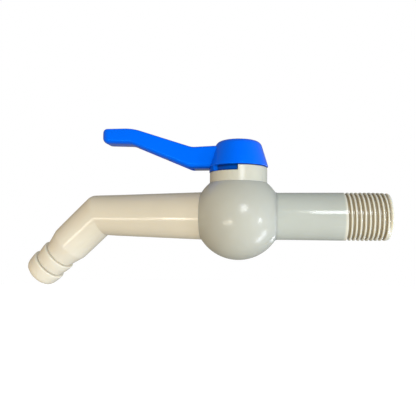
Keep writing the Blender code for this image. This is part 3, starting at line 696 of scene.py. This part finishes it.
def mitre(spot, drop):
    """Place of a point of the straight spout once it is bent at the origin of its Z axis.

    The point's height is its distance past the bend. Lines along the tube stay straight
    up to the mitre, and turn there with an arc that is wide outside and tight inside.
    """
    outward = spot.x
    before = Vector((0.0, 0.0, 1.0))
    after = Vector((-math.sin(drop), 0.0, math.cos(drop)))
    out_before = Vector((1.0, 0.0, 0.0))
    out_after = Vector((math.cos(drop), 0.0, math.sin(drop)))
    side = Vector((0.0, spot.y, 0.0))
    reach = outward * math.tan(drop / 2)

    def first(s):
        lean = s if s < -BEND_SPREAD else -BEND_SPREAD + (s + BEND_SPREAD) * (1 + reach / BEND_SPREAD)
        return out_before * outward + before * lean + side

    def second(s):
        lean = s if s > BEND_SPREAD else -reach + s * (1 + reach / BEND_SPREAD)
        return out_after * outward + after * lean + side

    wide = min(max(0.5 + outward / (18 * MM), 0.0), 1.0)
    soft = (0.25 + 1.15 * wide) * MM
    s = spot.z
    if s <= -soft:
        return first(s)
    if s >= soft:
        return second(s)
    t = (s + soft) / (2 * soft)
    return first(-soft) * (1 - t) ** 2 + first(0.0) * 2 * t * (1 - t) + second(soft) * t ** 2


class BuildSpout(bpy.types.Operator):
    """Spin the spout and its nozzle in one straight length, then bend it"""
    bl_idname = "ball_valve.spout"
    bl_label = "Spout and nozzle"

    def execute(self, context):
        sizes = context.scene.valve_sizes
        reach, bend_r, root_r = sizes.bend_reach, sizes.spout_bend, sizes.spout_root
        end = NOZZLE_LENGTH
        near = [s * MM for s in reversed(BEND_RINGS)] + [0.0] + [-s * MM for s in BEND_RINGS]
        widen = (root_r - bend_r) / (reach - SPOUT_PARALLEL)
        nozzle = [(NOZZLE_BORE, end), (6.2 * MM, end), (6.75 * MM, end - 0.15 * MM),
                  (7.35 * MM, end - 0.6 * MM), (7.75 * MM, end - 1.3 * MM)]
        nozzle += barb(35.3 * MM, 8.45 * MM, 40.2 * MM, 8.0 * MM)
        nozzle += [(BARB_GROOVE_R, 35.35 * MM), (BARB_GROOVE_R, 34.95 * MM)]
        nozzle += barb(28.4 * MM, 8.3 * MM, 34.9 * MM, 7.3 * MM)
        shoulder = rounded([(BARB_GROOVE_R, 28.45 * MM, 0.0), (BARB_GROOVE_R, 28.0 * MM, 0.0),
                            (7.3 * MM, 27.9 * MM, 0.0), (7.35 * MM, 27.5 * MM, 0.5 * MM),
                            (bend_r - 0.1 * MM, 20.3 * MM, 6 * MM), (bend_r - 0.02 * MM, 14 * MM, 0.0)],
                           closed=False)
        outside = nozzle + shoulder + [(bend_r + widen * max(0.0, -s), s) for s in near]
        ends = [(root_r, SPOUT_PARALLEL), (root_r, FLANGE_OUT), (FLANGE_R, FLANGE_OUT),
                (FLANGE_R, FLANGE_IN), (SPIGOT_R, FLANGE_IN), (SPIGOT_R, SPIGOT_END),
                (POCKET_R, SPIGOT_END), (POCKET_R, POCKET_END), (SPOUT_BORE, POCKET_END)]
        inside = [(radius, place - reach) for radius, place in ends]
        inside += [(SPOUT_BORE, s) for s in reversed(near)]
        inside += [(SPOUT_BORE, 14 * MM), (NOZZLE_BORE, 22 * MM)]
        spout = lathe("spout_and_nozzle", outside + inside)
        for vertex in spout.data.vertices:
            vertex.co = mitre(vertex.co, sizes.bend_drop)
        to_bend = Matrix.Translation(BALL - Vector((reach, 0.0, 0.0)))
        against_pipe = Matrix.Rotation(-math.pi / 2, 4, "Y")
        put(spout, to_bend @ Matrix.Rotation(sizes.bend_twist, 4, "X") @ against_pipe)
        finish_piece(spout, "body_polypropylene", "casing", "outlet_spout", smooth=30)
        return {"FINISHED"}


# ---- handle
def height_at(line, x):
    """Height of a side outline at x."""
    for (x0, z0), (x1, z1) in zip(line, line[1:]):
        if x0 <= x <= x1:
            return z0 + (z1 - z0) * (x - x0) / (x1 - x0)
    raise ValueError("x lies outside the outline")


def eased(radius, into):
    """How far a rounded corner stands back from its edge, at a distance in from its end."""
    if into >= radius:
        return 0.0
    return radius - math.sqrt(radius ** 2 - (radius - into) ** 2)


def lever_section(x, width, top_line, bottom_line):
    """Centre height, height and width of the lever at x, with its tip rounded off."""
    into = x - LEVER_TIP
    high = height_at(top_line, x) - eased(2.4 * MM, into)
    low = height_at(bottom_line, x) + eased(2.8 * MM, into)
    return (high + low) / 2, high - low, width - 2 * eased(TIP_LENGTH, into)


def lever_bar(sizes):
    """Extrude a rounded section from station to station along the lever."""
    top_line = rounded(TOP_LINE, 16, closed=False)
    bottom_line = rounded(BOTTOM_LINE, 12, closed=False)
    tip_steps = [TIP_LENGTH * (1 - math.cos(math.pi / 2 * i / 9)) for i in range(10)]
    body_length = LEVER_ROOT - LEVER_TIP - TIP_LENGTH
    body_steps = [TIP_LENGTH + body_length * i / 60 for i in range(1, 61)]
    stations = [LEVER_TIP + into for into in tip_steps + body_steps]
    stations.reverse()
    centre, tall, wide = lever_section(stations[0], sizes.lever_width, top_line, bottom_line)
    bpy.ops.mesh.primitive_plane_add(size=1.0, location=(stations[0], 0.0, centre),
                                     rotation=(0.0, math.pi / 2, 0.0))
    bar = named("lever_bar")
    bar.scale = (tall, wide, 1.0)
    bpy.ops.object.transform_apply()
    bpy.ops.object.mode_set(mode="EDIT")
    for above, width in ((True, sizes.lever_edge), (False, sizes.lever_belly)):
        bpy.ops.mesh.select_mode(type="VERT")
        bpy.ops.mesh.select_all(action="DESELECT")
        bpy.ops.object.mode_set(mode="OBJECT")
        for vertex in bar.data.vertices:
            corner = abs(abs(vertex.co.z - centre) - tall / 2) < WELD
            vertex.select = corner and (vertex.co.z > centre) == above
        bpy.ops.object.mode_set(mode="EDIT")
        bpy.ops.mesh.bevel(offset=width, segments=6, affect="VERTICES")
    bpy.ops.mesh.select_all(action="SELECT")
    for here, there in zip(stations, stations[1:]):
        next_centre, next_tall, next_wide = lever_section(there, sizes.lever_width, top_line,
                                                          bottom_line)
        step = Vector((there - here, 0.0, next_centre - centre))
        bpy.ops.mesh.extrude_region_move(TRANSFORM_OT_translate={"value": step})
        bpy.ops.transform.resize(value=(1.0, next_wide / wide, next_tall / tall),
                                 center_override=(there, 0.0, next_centre))
        centre, tall, wide = next_centre, next_tall, next_wide
    close_up()
    bpy.ops.object.mode_set(mode="OBJECT")
    return bar


def lever_pocket(start, stop, top_line):
    """Cutter for one moulded pocket: a block whose roof follows the lever's top."""
    pocket = block("lever_pocket", (start, -POCKET_HALF, BELOW_HUB), (stop, POCKET_HALF, HUB_BASE))
    for vertex in pocket.data.vertices:
        if vertex.co.z > BELOW_HUB + MM:
            vertex.co.z = height_at(top_line, vertex.co.x) - HUB_WALL - CLEAR
    bevel_edges(pocket, lambda spot: True, 0.7 * MM)
    return pocket


class BuildHandle(bpy.types.Operator):
    """Spin the hub, extrude the lever, hollow its underside and join the stop tab"""
    bl_idname = "ball_valve.handle"
    bl_label = "Lever handle"

    def execute(self, context):
        sizes = context.scene.valve_sizes
        base_r = sizes.hub_radius
        crown = HUB_TOP - HUB_FILLET
        lean = math.degrees(math.atan(HUB_SLOPE))
        crown_r = base_r - HUB_SLOPE * (crown - HUB_BASE) - HUB_FILLET * math.cos(math.radians(lean))
        outer = rounded([(base_r - 0.02 * MM, HUB_BASE + 0.5 * MM, 0.0), (base_r, HUB_BASE, 0.35 * MM),
                         (base_r - 1.2 * MM, HUB_BASE, 0.0)], closed=False)
        wall_r = base_r - HUB_WALL
        roof_r = wall_r - HUB_SLOPE * (HOLLOW_TOP - HUB_BASE)
        profile = [(WELL_R, HUB_TOP - 0.3 * MM), (WELL_R + 0.3 * MM, HUB_TOP)]
        profile += arc((crown_r, crown), HUB_FILLET, 90, lean, 12)
        profile += outer + [(wall_r, HUB_BASE), (roof_r, HOLLOW_TOP), (POST_R, HOLLOW_TOP),
                            (POST_R, POST_FOOT), (SCREW_WAY_R, POST_FOOT), (SCREW_WAY_R, WELL_FLOOR),
                            (WELL_R, WELL_FLOOR)]
        hub = lathe("lever_handle", profile)
        combine(hub, block("stem_socket", (-SOCKET_HALF, -SOCKET_HALF, BELOW_HUB),
                           (SOCKET_HALF, SOCKET_HALF, SOCKET_TOP)))
        bar = lever_bar(sizes)
        top_line = rounded(TOP_LINE, 16, closed=False)
        for start, stop in POCKETS:
            combine(bar, lever_pocket(start, stop, top_line))
        neck_room = [(0.0, HUB_BASE), (base_r, HUB_BASE), (base_r, BELOW_HUB), (0.0, BELOW_HUB)]
        combine(bar, lathe("neck_room", neck_room))
        hollow = [(0.0, HOLLOW_TOP), (roof_r, HOLLOW_TOP), (wall_r, HUB_BASE), (wall_r, BELOW_HUB),
                  (0.0, BELOW_HUB)]
        combine(bar, lathe("hub_hollow", hollow))
        combine(hub, bar, "UNION")
        top, foot, reach = HUB_BASE + CLEAR, NECK_LOW + CLEAR, STOP_X - CLEAR
        for outer_r, low_y in ((TAB_OUT, -ASIDE), (TAB_END_R, TAB_END_Y)):
            ring = [(RIM_IN, top), (outer_r, top), (outer_r, foot), (RIM_IN, foot)]
            tab = lathe("stop_tab", ring)
            combine(tab, block("tab_room", (-ASIDE, low_y, BELOW_HUB), (reach, reach, HUB_TOP)),
                    "INTERSECT")
            combine(hub, tab, "UNION")
        put(hub, AT_BALL)
        finish_piece(hub, "handle_abs", "handle_and_stem", "handle", smooth=32)
        cover = lathe("hub_cover", [(0.0, HUB_TOP + 0.15 * MM), (2.2 * MM, HUB_TOP + 0.13 * MM),
                                    (4.4 * MM, HUB_TOP + 0.02 * MM), (5.2 * MM, HUB_TOP - 0.1 * MM),
                                    (5.6 * MM, HUB_TOP - 0.3 * MM), (COVER_R, HUB_TOP - 0.6 * MM),
                                    (COVER_R, COVER_FOOT), (4.9 * MM, COVER_FOOT),
                                    (4.9 * MM, COVER_FOOT + 0.5 * MM), (0.0, COVER_FOOT + 0.5 * MM)])
        put(cover, AT_BALL)
        finish_piece(cover, "handle_abs", "handle_and_stem", "screw_cover")
        return {"FINISHED"}


# ---- finishes and studio
class MakeFinishes(bpy.types.Operator):
    """Make every finish, and give the inner CAD pieces theirs"""
    bl_idname = "ball_valve.finishes"
    bl_label = "Finishes"

    def execute(self, context):
        colours = context.scene.valve_colours
        bend_x = BALL.x - context.scene.valve_sizes.bend_reach
        # Polypropylene is waxy: its gloss is soft, and its shadows are faintly translucent.
        moulded_plastic("housing_polypropylene", colours.housing, 0.22, soft=0.35, soft_mm=4.0)
        moulded_plastic("neck_polypropylene", colours.neck, 0.26, soft=0.30, soft_mm=3.0)
        inlet = moulded_plastic("inlet_polypropylene", colours.pipe, 0.11, soft=0.30, soft_mm=3.0)
        # Painted shade in the thread's roots, and painted light over the threaded stretch.
        painted_thread_light_and_shade(inlet, colours.groove, colours.thread_light)
        spout = moulded_plastic("body_polypropylene", colours.ivory, 0.19, soft=0.30, soft_mm=3.0)
        paler_nozzle(spout, colours.nozzle, bend_x)
        # ABS is harder and opaque. Its pigment leaves no white in the gloss but at the edges.
        handle = moulded_plastic("handle_abs", colours.handle, 0.20, mottle=0.04, grain=0.06)
        # Painted shade on the stop tab under the hub's rim.
        painted_shade_under_hub(handle, colours.tab_shade)
        shine = handle.node_tree.nodes["Principled BSDF"].inputs
        shine["Specular IOR Level"].default_value = 0.45
        shine["Specular Tint"].default_value = (0.02, 0.50, 1.0, 1.0)
        # The inner plastics are white: a glossy ball, a satin acetal stem and matt PTFE seats.
        white = moulded_plastic("ball_polypropylene", linear("#E9E9E5"), 0.22, mottle=0.02, grain=0.02)
        acetal = moulded_plastic("stem_acetal", linear("#E2E0D8"), 0.32, mottle=0.02, grain=0.04)
        ptfe = moulded_plastic("seat_ptfe", linear("#F0EFEA"), 0.48, mottle=0.03, mottle_mm=4.0, soft=0.2)
        black = rubber()
        steel = turned_steel()
        inner = {
            white: ("ball",),
            acetal: ("stem",),
            ptfe: ("seat_inlet", "seat_outlet", "stem_thrust_washer"),
            black: ("seat_o_ring_inlet", "seat_o_ring_outlet", "body_gasket_inlet", "body_gasket_outlet",
                    "stem_dust_seal", "stem_o_ring_lower", "stem_o_ring_upper"),
            steel: ("handle_screw", "screw_washer"),
        }
        for material, nodes in inner.items():
            for node in nodes:
                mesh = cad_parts[node].data
                mesh.materials.clear()
                mesh.materials.append(material)
        return {"FINISHED"}


def softbox(name, azimuth, elevation, distance, width, height, power, code):
    """Area light aimed at the ball. Azimuth runs from the front (-Y) towards +X, in degrees."""
    a, e = math.radians(azimuth), math.radians(elevation)
    toward = Vector((math.sin(a) * math.cos(e), -math.cos(a) * math.cos(e), math.sin(e)))
    bpy.ops.object.light_add(type="AREA", location=BALL + toward * distance)
    lamp = bpy.context.active_object
    lamp.name = name
    lamp.rotation_euler = toward.to_track_quat("Z", "Y").to_euler()
    lamp.data.shape = "RECTANGLE"
    lamp.data.size = width
    lamp.data.size_y = height
    lamp.data.energy = power
    lamp.data.color = linear(code)


def studio_world():
    """Pale room, brightest on the near side, warm to the left and cool to the right."""
    world = bpy.data.worlds.new("studio_room")
    bpy.context.scene.world = world
    world.use_nodes = True
    tree = world.node_tree
    tree.nodes.clear()
    spot = add_node(tree, "TexCoord").outputs["Generated"]
    parts = add_node(tree, "SeparateXYZ", [("Vector", spot)])
    near = add_node(tree, "MapRange", [("Value", parts.outputs["Y"])], from_min=-1.0, from_max=1.0,
                    to_min=0.94, to_max=0.28, interpolation_type="SMOOTHSTEP")
    height = add_node(tree, "MapRange", [("Value", parts.outputs["Z"])], from_min=-1.0, from_max=1.0)
    above = add_node(tree, "ValToRGB", [("Fac", height)],
                     stops=[(0.0, (0.92,) * 3), (0.5, (1.08,) * 3), (1.0, (0.36,) * 3)])
    across = add_node(tree, "MapRange", [("Value", parts.outputs["X"])], from_min=-1.0, from_max=1.0)
    sideways = add_node(tree, "ValToRGB", [("Fac", across)],
                        stops=[(0.0, (1.3,) * 3), (0.5, (1.12,) * 3), (1.0, (2.4,) * 3)])
    tint = add_node(tree, "ValToRGB", [("Fac", across)],
                    stops=[(0.0, linear("#C8A87C")), (0.45, linear("#F8FAF2")), (1.0, linear("#E6F2FF"))])
    level = add_node(tree, "Math", [(0, near), (1, above)], operation="MULTIPLY")
    strength = add_node(tree, "Math", [(0, level), (1, sideways)], operation="MULTIPLY")
    room = add_node(tree, "Background", [("Color", tint), ("Strength", strength)])
    seen = add_node(tree, "Background")
    seen.inputs["Color"].default_value = (1.0, 1.0, 1.0, 1.0)
    path = add_node(tree, "LightPath")
    choose = add_node(tree, "MixShader", [("Fac", path.outputs["Is Camera Ray"]), (1, room), (2, seen)])
    add_node(tree, "OutputWorld", [("Surface", choose)])


def photo_angle_camera():
    """Camera at the ball's height and nearly square to the pipe, turned by yaw, pitch and roll."""
    bpy.ops.object.camera_add()
    camera = bpy.context.active_object
    camera.name = "photo_angle_camera"
    look = Vector((-math.sin(CAMERA_YAW) * math.cos(CAMERA_PITCH),
                   math.cos(CAMERA_YAW) * math.cos(CAMERA_PITCH), math.sin(CAMERA_PITCH)))
    right = Vector((math.cos(CAMERA_YAW), math.sin(CAMERA_YAW), 0.0))
    up = right.cross(look)
    rolled_right = right * math.cos(CAMERA_ROLL) + up * math.sin(CAMERA_ROLL)
    rolled_up = up * math.cos(CAMERA_ROLL) - right * math.sin(CAMERA_ROLL)
    turn = Matrix((rolled_right, rolled_up, -look)).transposed().to_4x4()
    camera.matrix_world = Matrix.Translation(BALL + CAMERA_PLACE) @ turn
    camera.data.sensor_width = 36.0
    camera.data.lens = CAMERA_LENS
    camera.data.clip_start = 0.01
    camera.data.clip_end = 20.0
    bpy.context.scene.camera = camera


class BuildStage(bpy.types.Operator):
    """Lay the pale floor, hang the soft lights and set the camera"""
    bl_idname = "ball_valve.stage"
    bl_label = "Stage"

    def execute(self, context):
        bpy.ops.mesh.primitive_circle_add(vertices=96, radius=4.0, fill_type="NGON",
                                          location=(BALL.x, 0.0, FLOOR_Z))
        floor = named("studio_floor")
        bpy.ops.object.transform_apply()
        floor.data.materials.append(floor_paper(context.scene.valve_colours.floor))
        floor.visible_diffuse = False
        floor.visible_glossy = False
        studio_world()
        for light in LIGHTS:
            softbox(*light)
        context.scene.view_settings.view_transform = "Standard"
        photo_angle_camera()
        return {"FINISHED"}


class VALVE_PT_panel(bpy.types.Panel):
    """Sizes, colours and building steps of the tap"""
    bl_label = "Ball Valve"
    bl_idname = "VALVE_PT_panel"
    bl_space_type = "VIEW_3D"
    bl_region_type = "UI"
    bl_category = "Ball Valve"

    def draw(self, context):
        for group in (context.scene.valve_sizes, context.scene.valve_colours):
            for key in group.__annotations__:
                self.layout.prop(group, key)
        for step in STEPS:
            self.layout.operator(step.bl_idname)


STEPS = (MakeFinishes, BuildHousing, BuildBody, BuildInlet, BuildSpout, BuildHandle, BuildStage)
CLASSES = (ValveSizes, ValveColours, *STEPS, VALVE_PT_panel)


def register():
    for item in CLASSES:
        bpy.utils.register_class(item)
    bpy.types.Scene.valve_sizes = PointerProperty(type=ValveSizes)
    bpy.types.Scene.valve_colours = PointerProperty(type=ValveColours)


def unregister():
    del bpy.types.Scene.valve_colours
    del bpy.types.Scene.valve_sizes
    for item in reversed(CLASSES):
        bpy.utils.unregister_class(item)


def main():
    register()
    bpy.ops.ball_valve.finishes()
    bpy.ops.ball_valve.housing()
    bpy.ops.ball_valve.body()
    bpy.ops.ball_valve.inlet()
    bpy.ops.ball_valve.spout()
    bpy.ops.ball_valve.handle()
    bpy.ops.ball_valve.stage()


if __name__ == "__main__":
    main()
